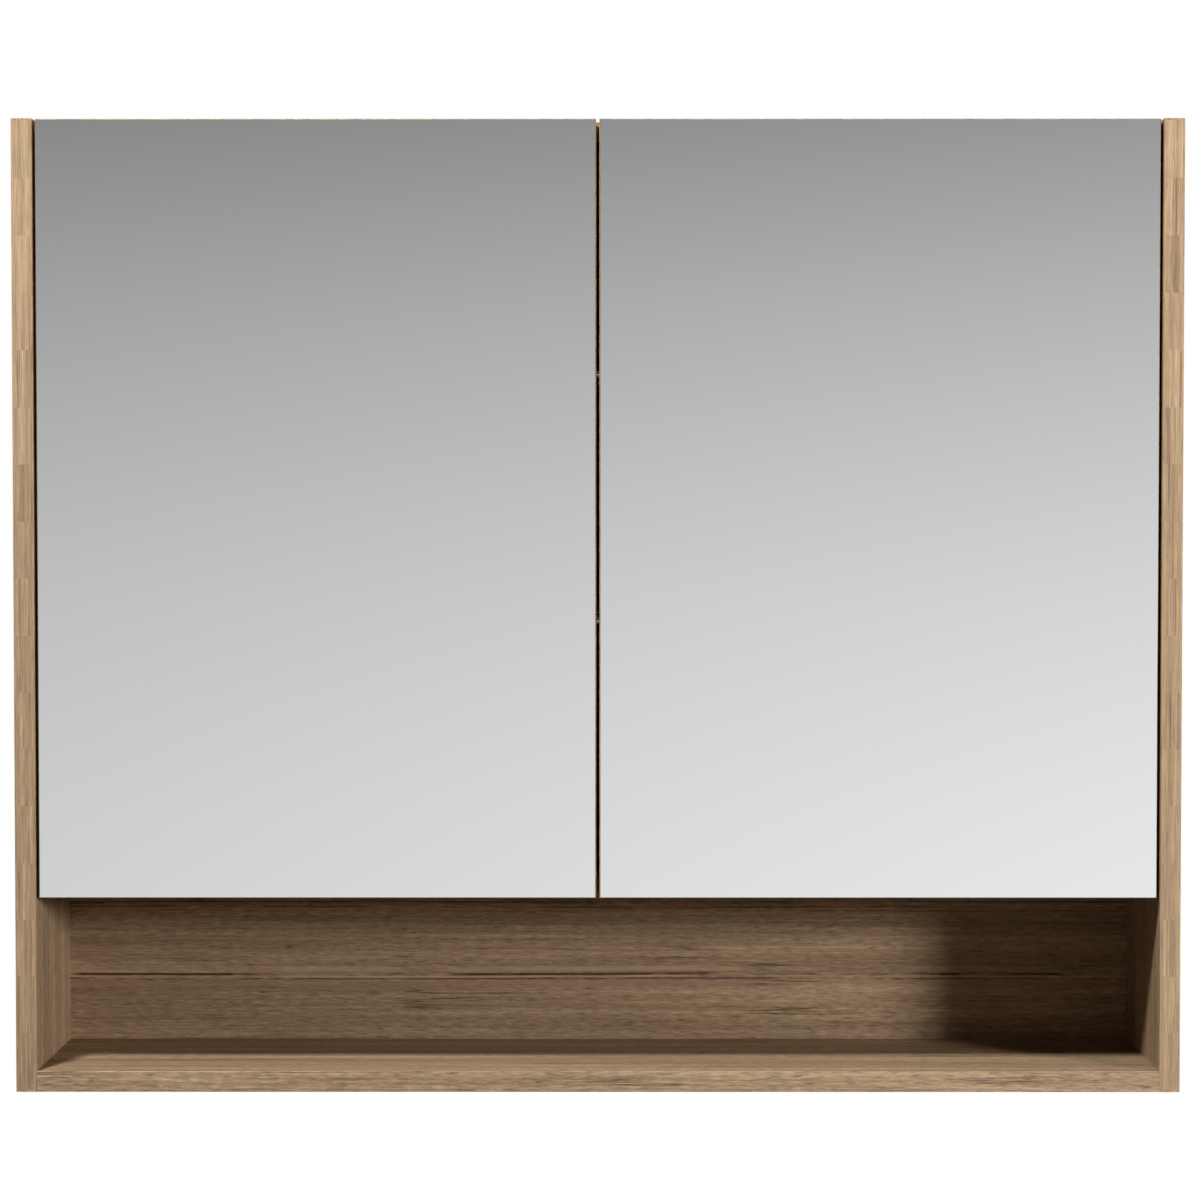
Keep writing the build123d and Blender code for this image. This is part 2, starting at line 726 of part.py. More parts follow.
for kind, source in (("cup_pins", cup_pin_pair), ("cup_screws", cup_screw_pair)):
    with BuildPart() as left_group:
        with Locations(*hinge_places.values()):
            add(source.part)
    write_piece(left_group, f"left_{kind}")
    with BuildPart() as right_group:
        mirror(left_group.part, about=Plane.YZ)
    write_piece(right_group, f"right_{kind}")

for kind, source in (
    ("arm_pins", arm_pin_pair),
    ("plate_screws", plate_screw_pair),
    ("adjusting_screws", adjuster_pair),
):
    with BuildPart() as group:
        with Locations(*hinge_places.values()):
            add(source.part)
        mirror(group.part, about=Plane.YZ)
    write_piece(group, kind)

# Door boards, bored for the cups and their screws, and the other door pieces
with BuildPart() as left_door_board:
    board_zs = (door_bottom_z + edging, top_z - edging)
    slab((-board_outer_x, -board_inner_x), (door_face_y, door_back_y), board_zs)
    for z in hinge_zs.values():
        bore(door_back_plane, [(cup_u - inner_half, z)], cup_radius, cup_depth)
        mouth = facing_wall.offset(door_back_y + cup_flange)
        screw_points = [(u - inner_half, -z - dz) for u, dz in cup_screw_places]
        add_screw_holes(mouth, screw_points, cup_screw_length)

for kind, source in (
    ("door_board", left_door_board),
    ("mirror", left_mirror),
    ("mirror_tape", left_mirror_tape),
    ("door_edging", left_door_edging),
    ("door_bumpers", left_door_bumpers),
):
    write_piece(source, f"left_{kind}")
    with BuildPart() as right_piece:
        mirror(source.part, about=Plane.YZ)
    write_piece(right_piece, f"right_{kind}")
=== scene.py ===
"""Dresses the wall-hung shaving cabinet: two mirror doors over an open woodgrain niche."""
import math

import bmesh
import bpy
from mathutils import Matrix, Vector


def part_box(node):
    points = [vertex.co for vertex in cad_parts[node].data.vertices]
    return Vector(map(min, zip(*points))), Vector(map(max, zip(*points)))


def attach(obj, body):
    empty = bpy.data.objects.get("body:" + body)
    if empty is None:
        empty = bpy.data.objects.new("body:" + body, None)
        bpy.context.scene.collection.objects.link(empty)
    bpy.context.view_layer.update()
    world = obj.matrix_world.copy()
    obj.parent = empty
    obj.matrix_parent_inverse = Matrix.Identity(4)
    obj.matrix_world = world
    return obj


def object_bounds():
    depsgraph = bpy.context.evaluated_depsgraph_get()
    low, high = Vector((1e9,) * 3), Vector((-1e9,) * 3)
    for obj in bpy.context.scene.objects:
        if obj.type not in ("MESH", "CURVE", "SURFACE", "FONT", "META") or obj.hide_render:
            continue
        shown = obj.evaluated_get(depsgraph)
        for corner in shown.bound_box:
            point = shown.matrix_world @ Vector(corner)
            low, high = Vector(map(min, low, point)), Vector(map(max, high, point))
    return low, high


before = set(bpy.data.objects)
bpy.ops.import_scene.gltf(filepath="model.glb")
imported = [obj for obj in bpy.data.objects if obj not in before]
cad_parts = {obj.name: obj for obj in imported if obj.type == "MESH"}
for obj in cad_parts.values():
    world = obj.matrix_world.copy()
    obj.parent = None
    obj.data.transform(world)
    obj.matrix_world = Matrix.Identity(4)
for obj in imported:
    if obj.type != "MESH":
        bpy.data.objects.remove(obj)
cad_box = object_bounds()

bl_info = {
    "name": "Shaving cabinet dresser",
    "version": (1, 0, 0),
    "blender": (4, 5, 0),
    "location": "View3D > Sidebar > Cabinet",
    "description": "Gives the shaving cabinet its woodgrain, mirrors, fittings, light and camera",
    "category": "Object",
}

X, Y, Z = 0, 1, 2
BOTTOM_OF_CAD = cad_box[0][Z]
SIDE_STRIP_LOW, SIDE_STRIP_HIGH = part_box("left_side_edging")
NICHE_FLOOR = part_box("niche_back")[0][Z]

# The lip in front of the door edge strip: play beside the mirror, and how far its outer
# and inner corners come forward. The bevel clears the side panel as the door opens.
LIP_PLAY = 0.00005
LIP_SHOULDER = 0.002
LIP_REACH = 0.00365

# How light each board and edge strip is printed, next to the wood's own colours. Besides the print's own
# tone, these hold painted light and shade: the front-facing edge strips are printed lighter, the bottom
# edge strip lighter still, and the niche's side and level boards darker.
# Painted shade: the niche's side panels and level boards are printed darker than the door boards.
UPRIGHT_PRINT_AND_SHADE = 0.79
LEVEL_PRINT_AND_SHADE = 0.77
NICHE_BACK_LIFT = 0.91
DOOR_LIFT = 1.0
# Painted light: the edge strips are printed lighter than the boards, and the bottom edge strip lighter
# still.
STRIP_PRINT_AND_LIGHT = 1.13
LEVEL_STRIP_PRINT_AND_LIGHT = STRIP_PRINT_AND_LIGHT * 1.12

# Side edge strips: the unbroken margin beside the staves, how far each stave's print
# is shifted from the next, and the narrower and longer drawing of the boards' print
STAVE_MARGIN = 0.0016
STAVE_SHIFT = (0.83, 0.37, 0.19)
SIDE_STRIP_DRAWING = (2.6, 2.6, 0.4)

# Faces are told by how much of their normal lies along one axis: a board's broad faces,
# a glass's broad faces, and the mirror's front together with its arris
BOARD_FACE = 0.7
GLASS_FACE = 0.9
MIRROR_FRONT = 0.3

# Two lights shine at the middle of the niche and one at the cabinet's back, each along
# its own direction. Lengths are in metres.
NICHE_MIDDLE = (0.0, -0.08, -0.37)
CABINET_MIDDLE = (0.0, 0.0, 0.0)
LIGHT_DISTANCE = 2.6
KEY_TRAVEL = (0.8, 1.0, -2.0)
KEY_SIZE = 0.32
FRONT_TRAVEL = (-1.54, 1.0, -0.355)
FRONT_SIZE = 0.45
BACK_TRAVEL = (-0.5, -1.0, -0.8)
BACK_SIZE = 1.0

# Camera: place in metres, and how far it dips and turns in degrees
CAMERA_PLACE = (0.0044, -2.239, -0.01155)
CAMERA_DIP = 1.602
CAMERA_TURN = 0.074
SENSOR_WIDTH_MM = 36.0

# Floor: radius, and the distances from its middle between which it fades to white
FLOOR_RADIUS = 6.0
FLOOR_SIDES = 96
FADE_START = 0.4
FADE_END = 3.0


def linear(hex_colour):
    """Turn an sRGB hex colour into linear red, green and blue."""
    channels = [int(hex_colour[i : i + 2], 16) / 255 for i in (1, 3, 5)]
    return [c / 12.92 if c <= 0.04045 else ((c + 0.055) / 1.055) ** 2.4 for c in channels]


def opaque(colour):
    """Add full alpha to a red, green and blue colour."""
    return (*colour[:3], 1.0)


def add_node(tree, kind, inputs=None, **settings):
    """Add a shader node, set its properties, and fill or link its inputs."""
    node = tree.nodes.new(kind)
    for key, value in settings.items():
        setattr(node, key, value)
    for key, value in (inputs or {}).items():
        if isinstance(value, bpy.types.NodeSocket):
            tree.links.new(value, node.inputs[key])
        else:
            node.inputs[key].default_value = value
    return node


def empty_material(name):
    """Make a material with an empty node tree."""
    material = bpy.data.materials.new(name)
    material.use_nodes = True
    material.node_tree.nodes.clear()
    return material, material.node_tree


def finish_with(tree, shader):
    """Send a shader to the material's surface."""
    add_node(tree, "ShaderNodeOutputMaterial", {"Surface": shader.outputs[0]})


def dress(node_names, material):
    """Put one material in every slot of the named nodes."""
    for name in node_names:
        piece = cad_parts[name]
        if not piece.material_slots:
            piece.data.materials.append(material)
        for slot in piece.material_slots:
            slot.material = material


def both_sides(*kinds):
    """Names of the left and right node of each kind."""
    return [f"{side}_{kind}" for side in ("left", "right") for kind in kinds]


def hinge_nodes(*kinds):
    """Names of a hinge piece in all four hinges."""
    return both_sides(*[f"{level}_{kind}" for level in ("lower", "upper") for kind in kinds])


def colour_setting(name, description, colour):
    """A colour that the user can change, given its linear default."""
    return bpy.props.FloatVectorProperty(
        name=name,
        description=description,
        subtype="COLOR",
        min=0,
        max=1,
        default=colour,
    )


class CabinetWoodSettings(bpy.types.PropertyGroup):
    """Colours and sizes of the woodgrain"""

    light: colour_setting("Light wood", "Lightest tone between the veins", linear("#cfb08c"))
    dark: colour_setting("Dark wood", "Darkest broad band", linear("#967c63"))
    rosy: colour_setting("Rosy wood", "Warm patches in the bands", linear("#b39078"))
    olive: colour_setting("Olive wood", "Cool patches in the bands", linear("#ae9c78"))
    vein: colour_setting("Vein", "Thin dark lines along the grain", linear("#33281f"))
    stave_length: bpy.props.FloatProperty(
        name="Stave length",
        description="Length of each short stave in the side edge strips",
        subtype="DISTANCE",
        unit="LENGTH",
        min=0.01,
        default=0.043911,
    )
    first_seam: bpy.props.FloatProperty(
        name="First seam",
        description="Height of the lowest seam above the bottom of the strip",
        subtype="DISTANCE",
        unit="LENGTH",
        min=0,
        default=0.0019,
    )


class CabinetFinishSettings(bpy.types.PropertyGroup):
    """Colours of the boards, glass and fittings"""

    white: colour_setting("White laminate", "Colour of the back panel and hanging rails", linear("#e9e7e1"))
    core: colour_setting("Particle board", "Colour of a bare board edge", linear("#b4976f"))
    silver: colour_setting("Mirror silver", "Colour that the mirrors reflect", (0.92, 0.925, 0.925))
    glass_edge: colour_setting("Glass edge", "Green of a polished glass edge", linear("#7fa796"))
    nickel: colour_setting("Nickel", "Colour of the plated hinges", linear("#c8c3b9"))
    zinc: colour_setting("Zinc", "Colour of the plated screws and cam locks", linear("#b9bec4"))
    beech: colour_setting("Beech", "Colour of the dowels", linear("#cda878"))


class CabinetStageSettings(bpy.types.PropertyGroup):
    """Floor, lights and camera"""

    floor_drop: bpy.props.FloatProperty(
        name="Height over floor",
        description="How far the floor lies under the cabinet",
        subtype="DISTANCE",
        unit="LENGTH",
        min=0,
        default=1.2,
    )
    key_power: bpy.props.FloatProperty(
        name="Key light",
        description="Power of the light from the upper left",
        subtype="POWER",
        unit="POWER",
        min=0,
        default=57,
    )
    fill_power: bpy.props.FloatProperty(
        name="Front light",
        description="Power of the low light from the right",
        subtype="POWER",
        unit="POWER",
        min=0,
        default=42,
    )
    back_power: bpy.props.FloatProperty(
        name="Back light",
        description="Power of the light behind the cabinet",
        subtype="POWER",
        unit="POWER",
        min=0,
        default=60,
    )
    sky: bpy.props.FloatProperty(
        name="Room light",
        description="Even light from all around",
        min=0,
        default=0.05,
    )
    lens: bpy.props.FloatProperty(
        name="Lens",
        description="Focal length in millimetres on a 36 mm sensor",
        min=1,
        default=81.453,
    )


def figure(tree, place, grain, across_mm, along_mm, start, detail=2.0):
    """Add noise drawn out along the grain, with one figure's real width and length in mm.

    Each start shows another part of the endless noise.
    """
    scale = [1000 / across_mm] * 3
    scale[grain] = 1000 / along_mm
    drawn_out = add_node(
        tree,
        "ShaderNodeMapping",
        {"Vector": place, "Location": (start, start * 0.7, start * 1.3), "Scale": scale},
    )
    return add_node(
        tree,
        "ShaderNodeTexNoise",
        {"Vector": drawn_out.outputs["Vector"], "Scale": 1.0, "Detail": detail, "Roughness": 0.6},
    )


def tint_where(tree, mask, colour, tint):
    """Mix one tint over a colour where a mask is white."""
    return add_node(
        tree,
        "ShaderNodeMix",
        {0: mask.outputs[0], 6: colour, 7: opaque(tint)},
        data_type="RGBA",
    ).outputs[2]


def swaying(tree, place, grain, start):
    """Let a print sway by a few millimetres, so that no vein is ruled straight."""
    sway_size = [0.004] * 3
    sway_size[grain] = 0.0
    sway = figure(tree, place, grain, 60, 420, start + 3.1, 3.0)
    centred = add_node(
        tree,
        "ShaderNodeVectorMath",
        {0: sway.outputs["Color"], 1: (0.5, 0.5, 0.5)},
        operation="SUBTRACT",
    )
    return add_node(
        tree,
        "ShaderNodeVectorMath",
        {0: centred.outputs[0], 1: sway_size, 2: place},
        operation="MULTIPLY_ADD",
    ).outputs[0]


def banded_wood(tree, swayed, grain, wood, start):
    """Colour of broad bands from dark to light wood, with rosy and olive patches."""
    bands = figure(tree, swayed, grain, 12, 700, start, 4.0)
    band_tone = add_node(
        tree,
        "ShaderNodeMapRange",
        {"Value": bands.outputs["Fac"], "From Min": 0.28, "From Max": 0.72},
    )
    colour = add_node(
        tree,
        "ShaderNodeMix",
        {0: band_tone.outputs[0], 6: opaque(wood.dark), 7: opaque(wood.light)},
        data_type="RGBA",
    ).outputs[2]
    for tint, shift in ((wood.rosy, 11.0), (wood.olive, 23.0)):
        patch = figure(tree, swayed, grain, 17, 170, start + shift, 4.0)
        strength = add_node(
            tree,
            "ShaderNodeMapRange",
            {"Value": patch.outputs["Fac"], "From Min": 0.46, "From Max": 0.68, "To Max": 0.4},
        )
        colour = tint_where(tree, strength, colour, tint)
    return colour


def fibres(tree, swayed, grain, start, print_and_light_tone):
    """Tone of the fibres: short dashes over longer streaks."""
    # Real fibres are a third of a millimetre wide. Here they are drawn as wide as a
    # pixel of the picture, or they would vanish.
    streaks = figure(tree, swayed, grain, 2.6, 150, start + 31.0, 4.0)
    dashes = figure(tree, swayed, grain, 1.3, 10, start + 37.0, 3.0)
    # The tone scales the streaks: the print's own lightness, together with painted light on the edge strips
    # and painted shade on the niche boards.
    streak_tone = add_node(
        tree,
        "ShaderNodeMapRange",
        {
            "Value": streaks.outputs["Fac"],
            "From Min": 0.3,
            "From Max": 0.7,
            "To Min": 0.8 * print_and_light_tone,
            "To Max": 1.2 * print_and_light_tone,
        },
    )
    dash_tone = add_node(
        tree,
        "ShaderNodeMapRange",
        {
            "Value": dashes.outputs["Fac"],
            "From Min": 0.3,
            "From Max": 0.7,
            "To Min": 0.68,
            "To Max": 1.32,
        },
    )
    return add_node(
        tree,
        "ShaderNodeMath",
        {0: streak_tone.outputs[0], 1: dash_tone.outputs[0]},
        operation="MULTIPLY",
    )


def veins(tree, swayed, grain, start):
    """Mask of the long veins, which follow a level line of a broad noise and come and go."""
    level = figure(tree, swayed, grain, 22, 1500, start + 47.0, 4.0)
    off_line = add_node(tree, "ShaderNodeMath", {0: level.outputs["Fac"], 1: 0.5}, operation="SUBTRACT")
    distance = add_node(tree, "ShaderNodeMath", {0: off_line.outputs[0]}, operation="ABSOLUTE")
    vein_line = add_node(
        tree,
        "ShaderNodeMapRange",
        {"Value": distance.outputs[0], "From Min": 0.0, "From Max": 0.009, "To Min": 1.0, "To Max": 0.0},
    )
    presence = figure(tree, swayed, grain, 30, 200, start + 59.0, 4.0)
    present = add_node(
        tree,
        "ShaderNodeMapRange",
        {"Value": presence.outputs["Fac"], "From Min": 0.5, "From Max": 0.6, "To Max": 0.75},
    )
    return add_node(
        tree,
        "ShaderNodeMath",
        {0: vein_line.outputs[0], 1: present.outputs[0]},
        operation="MULTIPLY",
    )


def pores(tree, swayed, grain, start):
    """Mask of the pores, which are short dark dashes."""
    dashes = figure(tree, swayed, grain, 1.7, 13, start + 71.0, 2.0)
    return add_node(
        tree,
        "ShaderNodeMapRange",
        {"Value": dashes.outputs["Fac"], "From Min": 0.6, "From Max": 0.74, "To Max": 0.5},
    )


def main_line(tree, heights, breaks, height, half_width, strength):
    """Mask of one main line of the print, at a set height and broken off here and there."""
    above = add_node(tree, "ShaderNodeMath", {0: heights, 1: height}, operation="SUBTRACT")
    away = add_node(tree, "ShaderNodeMath", {0: above.outputs[0]}, operation="ABSOLUTE")
    line = add_node(
        tree,
        "ShaderNodeMapRange",
        {
            "Value": away.outputs[0],
            "From Min": half_width * 0.4,
            "From Max": half_width,
            "To Min": strength,
            "To Max": 0.0,
        },
    )
    unbroken = add_node(
        tree,
        "ShaderNodeMapRange",
        {"Value": breaks.outputs["Fac"], "From Min": 0.42, "From Max": 0.54},
    )
    return add_node(
        tree,
        "ShaderNodeMath",
        {0: line.outputs[0], 1: unbroken.outputs[0]},
        operation="MULTIPLY",
    )


def woodgrain(tree, place, grain, wood, start=0.0, print_and_light_tone=1.0, lines=()):
    """Colour, fibre tone and pores of a printed woodgrain whose fibres run along one axis."""
    swayed = swaying(tree, place, grain, start)
    fibre_tone = fibres(tree, swayed, grain, start, print_and_light_tone)
    colour = add_node(
        tree,
        "ShaderNodeMix",
        {0: 1.0, 6: banded_wood(tree, swayed, grain, wood, start), 7: fibre_tone.outputs[0]},
        data_type="RGBA",
        blend_type="MULTIPLY",
    ).outputs[2]
    colour = tint_where(tree, veins(tree, swayed, grain, start), colour, wood.vein)
    pore_mask = pores(tree, swayed, grain, start)
    colour = tint_where(tree, pore_mask, colour, wood.vein)

    heights = add_node(tree, "ShaderNodeSeparateXYZ", {"Vector": swayed}).outputs[Z]
    for number, (height, half_width, tint, strength) in enumerate(lines):
        breaks = figure(tree, place, grain, 60, 90, start + 83.0 + 7 * number, 4.0)
        line = main_line(tree, heights, breaks, height, half_width, strength)
        colour = tint_where(tree, line, colour, tint)
    return colour, fibre_tone.outputs[0], pore_mask.outputs[0]


def wood_shader(tree, place, grain, wood, start=0.0, print_and_light_tone=1.0, lines=()):
    """A matt woodgrain print: colour, shine that follows the fibres and a light emboss."""
    colour, fibre_tone, pore_mask = woodgrain(tree, place, grain, wood, start, print_and_light_tone, lines)
    shine = add_node(
        tree,
        "ShaderNodeMapRange",
        {"Value": fibre_tone, "From Min": 0.6, "From Max": 1.4, "To Min": 0.62, "To Max": 0.48},
    )
    relief = add_node(
        tree,
        "ShaderNodeMath",
        {0: fibre_tone, 1: pore_mask},
        operation="SUBTRACT",
    )
    emboss = add_node(
        tree,
        "ShaderNodeBump",
        {"Strength": 0.5, "Distance": 0.00006, "Height": relief.outputs[0]},
    )
    return add_node(
        tree,
        "ShaderNodeBsdfPrincipled",
        {
            "Base Color": colour,
            "Roughness": shine.outputs[0],
            "IOR": 1.5,
            "Specular IOR Level": 0.15,
            "Normal": emboss.outputs["Normal"],
        },
    )


def core_shader(tree, place, core):
    """Bare particle board: glued chips of a few millimetres, darker and lighter."""
    chips = add_node(
        tree,
        "ShaderNodeTexVoronoi",
        {"Vector": place, "Scale": 1000 / 2.4, "Randomness": 1.0},
    )
    chip_tone = add_node(
        tree,
        "ShaderNodeMapRange",
        {"Value": chips.outputs["Color"], "To Min": 0.62, "To Max": 1.12},
    )
    dust = add_node(tree, "ShaderNodeTexNoise", {"Vector": place, "Scale": 1000 / 0.9, "Detail": 3.0})
    dust_tone = add_node(
        tree,
        "ShaderNodeMapRange",
        {"Value": dust.outputs["Fac"], "From Min": 0.3, "From Max": 0.7, "To Min": 0.85, "To Max": 1.1},
    )
    tone = add_node(
        tree,
        "ShaderNodeMath",
        {0: chip_tone.outputs[0], 1: dust_tone.outputs[0]},
        operation="MULTIPLY",
    )
    colour = add_node(
        tree,
        "ShaderNodeMix",
        {0: 1.0, 6: opaque(core), 7: tone.outputs[0]},
        data_type="RGBA",
        blend_type="MULTIPLY",
    )
    rough = add_node(
        tree,
        "ShaderNodeBump",
        {"Strength": 0.7, "Distance": 0.0003, "Height": tone.outputs[0]},
    )
    return add_node(
        tree,
        "ShaderNodeBsdfPrincipled",
        {
            "Base Color": colour.outputs[2],
            "Roughness": 0.9,
            "IOR": 1.45,
            "Normal": rough.outputs["Normal"],
        },
    )


def faced_board(tree, faced, core, face_axis):
    """Show the facing on the two broad faces of a board, and its core on cut edges."""
    coordinates = add_node(tree, "ShaderNodeTexCoord")
    split = add_node(tree, "ShaderNodeSeparateXYZ", {"Vector": coordinates.outputs["Normal"]})
    facing = add_node(tree, "ShaderNodeMath", {0: split.outputs[face_axis]}, operation="ABSOLUTE")
    on_face = add_node(
        tree,
        "ShaderNodeMath",
        {0: facing.outputs[0], 1: BOARD_FACE},
        operation="GREATER_THAN",
    )
    return add_node(
        tree,
        "ShaderNodeMixShader",
        {0: on_face.outputs[0], 1: core.outputs[0], 2: faced.outputs[0]},
    )


class CABINET_OT_dress_boards(bpy.types.Operator):
    """Give the side panels, level boards, niche back and door boards their woodgrain"""

    bl_idname = "cabinet.dress_boards"
    bl_label = "Woodgrain boards"

    def execute(self, context):
        wood = context.scene.cabinet_wood
        core = context.scene.cabinet_finish.core
        # Height over the niche's floor, half width, tint and strength of each main line
        back_lines = [
            (NICHE_FLOOR + height, half_width, tint, strength)
            for height, half_width, tint, strength in (
                (0.1128, 0.001, wood.vein, 0.65),
                (0.1088, 0.001, wood.vein, 0.6),
                (0.1055, 0.0008, wood.vein, 0.45),
                (0.0576, 0.0026, wood.light, 0.5),
                (0.0532, 0.0014, wood.vein, 0.9),
                (0.0513, 0.0008, wood.light, 0.7),
                (0.0494, 0.0009, wood.vein, 0.7),
                (0.045, 0.003, wood.rosy, 0.4),
            )
        ]
        # Each board's print tone also holds painted shade: the niche's side panels and level boards are
        # printed darker.
        groups = (
            ("Upright", both_sides("side_panel"), Z, X, 0.0, UPRIGHT_PRINT_AND_SHADE, ()),
            ("Level", ["top_panel", "compartment_floor", "bottom_panel"], X, Z, 5.0, LEVEL_PRINT_AND_SHADE, ()),
            ("Back", ["niche_back"], X, Y, 9.0, NICHE_BACK_LIFT, back_lines),
            ("Door", both_sides("door_board"), Z, Y, 13.0, DOOR_LIFT, ()),
        )
        for place_name, nodes, grain, face_axis, start, print_and_light_tone, lines in groups:
            # Melamine-faced particle board: a matt paper print with a faint pressed grain.
            material, tree = empty_material(f"{place_name} melamine board, printed and embossed")
            place = add_node(tree, "ShaderNodeTexCoord").outputs["Object"]
            faced = wood_shader(tree, place, grain, wood, start, print_and_light_tone, lines)
            finish_with(tree, faced_board(tree, faced, core_shader(tree, place, core), face_axis))
            dress(nodes, material)
        return {"FINISHED"}


class CABINET_OT_dress_white_boards(bpy.types.Operator):
    """Give the compartment back and the hanging rails their white facing"""

    bl_idname = "cabinet.dress_white_boards"
    bl_label = "White boards"

    def execute(self, context):
        finish = context.scene.cabinet_finish
        # White melamine: smooth and even, with the faint orange peel of the press plate.
        material, tree = empty_material("White melamine board, pressed")
        place = add_node(tree, "ShaderNodeTexCoord").outputs["Object"]
        peel = add_node(tree, "ShaderNodeTexNoise", {"Vector": place, "Scale": 1000 / 1.6, "Detail": 2.0})
        clouds = add_node(tree, "ShaderNodeTexNoise", {"Vector": place, "Scale": 1000 / 90, "Detail": 2.0})
        shade = add_node(
            tree,
            "ShaderNodeMapRange",
            {
                "Value": clouds.outputs["Fac"],
                "From Min": 0.3,
                "From Max": 0.7,
                "To Min": 0.96,
                "To Max": 1.0,
            },
        )
        colour = add_node(
            tree,
            "ShaderNodeMix",
            {0: 1.0, 6: opaque(finish.white), 7: shade.outputs[0]},
            data_type="RGBA",
            blend_type="MULTIPLY",
        )
        emboss = add_node(
            tree,
            "ShaderNodeBump",
            {"Strength": 0.25, "Distance": 0.00004, "Height": peel.outputs["Fac"]},
        )
        faced = add_node(
            tree,
            "ShaderNodeBsdfPrincipled",
            {
                "Base Color": colour.outputs[2],
                "Roughness": 0.42,
                "IOR": 1.5,
                "Normal": emboss.outputs["Normal"],
            },
        )
        core = core_shader(tree, place, finish.core)
        finish_with(tree, faced_board(tree, faced, core, Y))
        dress(["compartment_back", "upper_hanging_rail", "lower_hanging_rail"], material)
        return {"FINISHED"}


def staved(tree, place, wood):
    """Shift a side strip's print from stave to stave, but not in its two margins."""
    split = add_node(tree, "ShaderNodeSeparateXYZ", {"Vector": place})
    above_seam = add_node(
        tree,
        "ShaderNodeMath",
        {0: split.outputs[Z], 1: SIDE_STRIP_LOW[Z] + wood.first_seam},
        operation="SUBTRACT",
    )
    staves_up = add_node(
        tree,
        "ShaderNodeMath",
        {0: above_seam.outputs[0], 1: wood.stave_length},
        operation="DIVIDE",
    )
    stave = add_node(tree, "ShaderNodeMath", {0: staves_up.outputs[0]}, operation="FLOOR")
    from_middle = add_node(tree, "ShaderNodeMath", {0: split.outputs[X]}, operation="ABSOLUTE")
    aside = add_node(
        tree,
        "ShaderNodeMath",
        {0: from_middle.outputs[0], 1: -(SIDE_STRIP_LOW[X] + SIDE_STRIP_HIGH[X]) / 2},
        operation="SUBTRACT",
    )
    aside = add_node(tree, "ShaderNodeMath", {0: aside.outputs[0]}, operation="ABSOLUTE")
    inside = add_node(
        tree,
        "ShaderNodeMath",
        {0: aside.outputs[0], 1: (SIDE_STRIP_HIGH[X] - SIDE_STRIP_LOW[X]) / 2 - STAVE_MARGIN},
        operation="LESS_THAN",
    )
    steps = add_node(
        tree,
        "ShaderNodeMath",
        {0: stave.outputs[0], 1: inside.outputs[0]},
        operation="MULTIPLY",
    )
    shifted = add_node(
        tree,
        "ShaderNodeVectorMath",
        {0: steps.outputs[0], 1: STAVE_SHIFT, 2: place},
        operation="MULTIPLY_ADD",
    )
    return add_node(
        tree,
        "ShaderNodeVectorMath",
        {0: shifted.outputs[0], 1: SIDE_STRIP_DRAWING},
        operation="MULTIPLY",
    ).outputs[0]


class CABINET_OT_dress_edge_strips(bpy.types.Operator):
    """Give the edge strips their grain, with short staves on the two side panels"""

    bl_idname = "cabinet.dress_edge_strips"
    bl_label = "Edge strips"

    def execute(self, context):
        wood = context.scene.cabinet_wood
        # ABS edge strip, printed along its length: the same wood, printed lighter as painted light on these
        # front-facing strips.
        for strip_name, nodes, grain, start, print_and_light_tone in (
            ("Level", ["bottom_panel_edging", "compartment_edging"], X, 17.0, LEVEL_STRIP_PRINT_AND_LIGHT),
            ("Door", both_sides("door_edging"), Z, 21.0, STRIP_PRINT_AND_LIGHT),
            ("End", ["side_end_edging"], Y, 25.0, STRIP_PRINT_AND_LIGHT),
        ):
            material, tree = empty_material(f"{strip_name} ABS strip, printed woodgrain")
            place = add_node(tree, "ShaderNodeTexCoord").outputs["Object"]
            finish_with(tree, wood_shader(tree, place, grain, wood, start, print_and_light_tone))
            dress(nodes, material)

        # Side strips: short staves butted end to end between two unbroken margins.
        material, tree = empty_material("Side ABS strip, printed short staves")
        place = add_node(tree, "ShaderNodeTexCoord").outputs["Object"]
        staves = staved(tree, place, wood)
        # Printed lighter, like the other edge strips, as painted light.
        finish_with(tree, wood_shader(tree, staves, Z, wood, 29.0, STRIP_PRINT_AND_LIGHT))
        dress(both_sides("side_edging"), material)
        return {"FINISHED"}


def ring(mesh_name, loops):
    """Close a square ring from loops of four corners, each joined to the next."""
    mesh = bpy.data.meshes.new(mesh_name)
    shape = bmesh.new()
    corners = [[shape.verts.new(corner) for corner in loop] for loop in loops]
    for inner, outer in zip(corners, corners[1:] + corners[:1]):
        for here in range(4):
            there = (here + 1) % 4
            shape.faces.new((inner[here], inner[there], outer[there], outer[here]))
    bmesh.ops.recalc_face_normals(shape, faces=shape.faces)
    shape.to_mesh(mesh)
    shape.free()
    return mesh


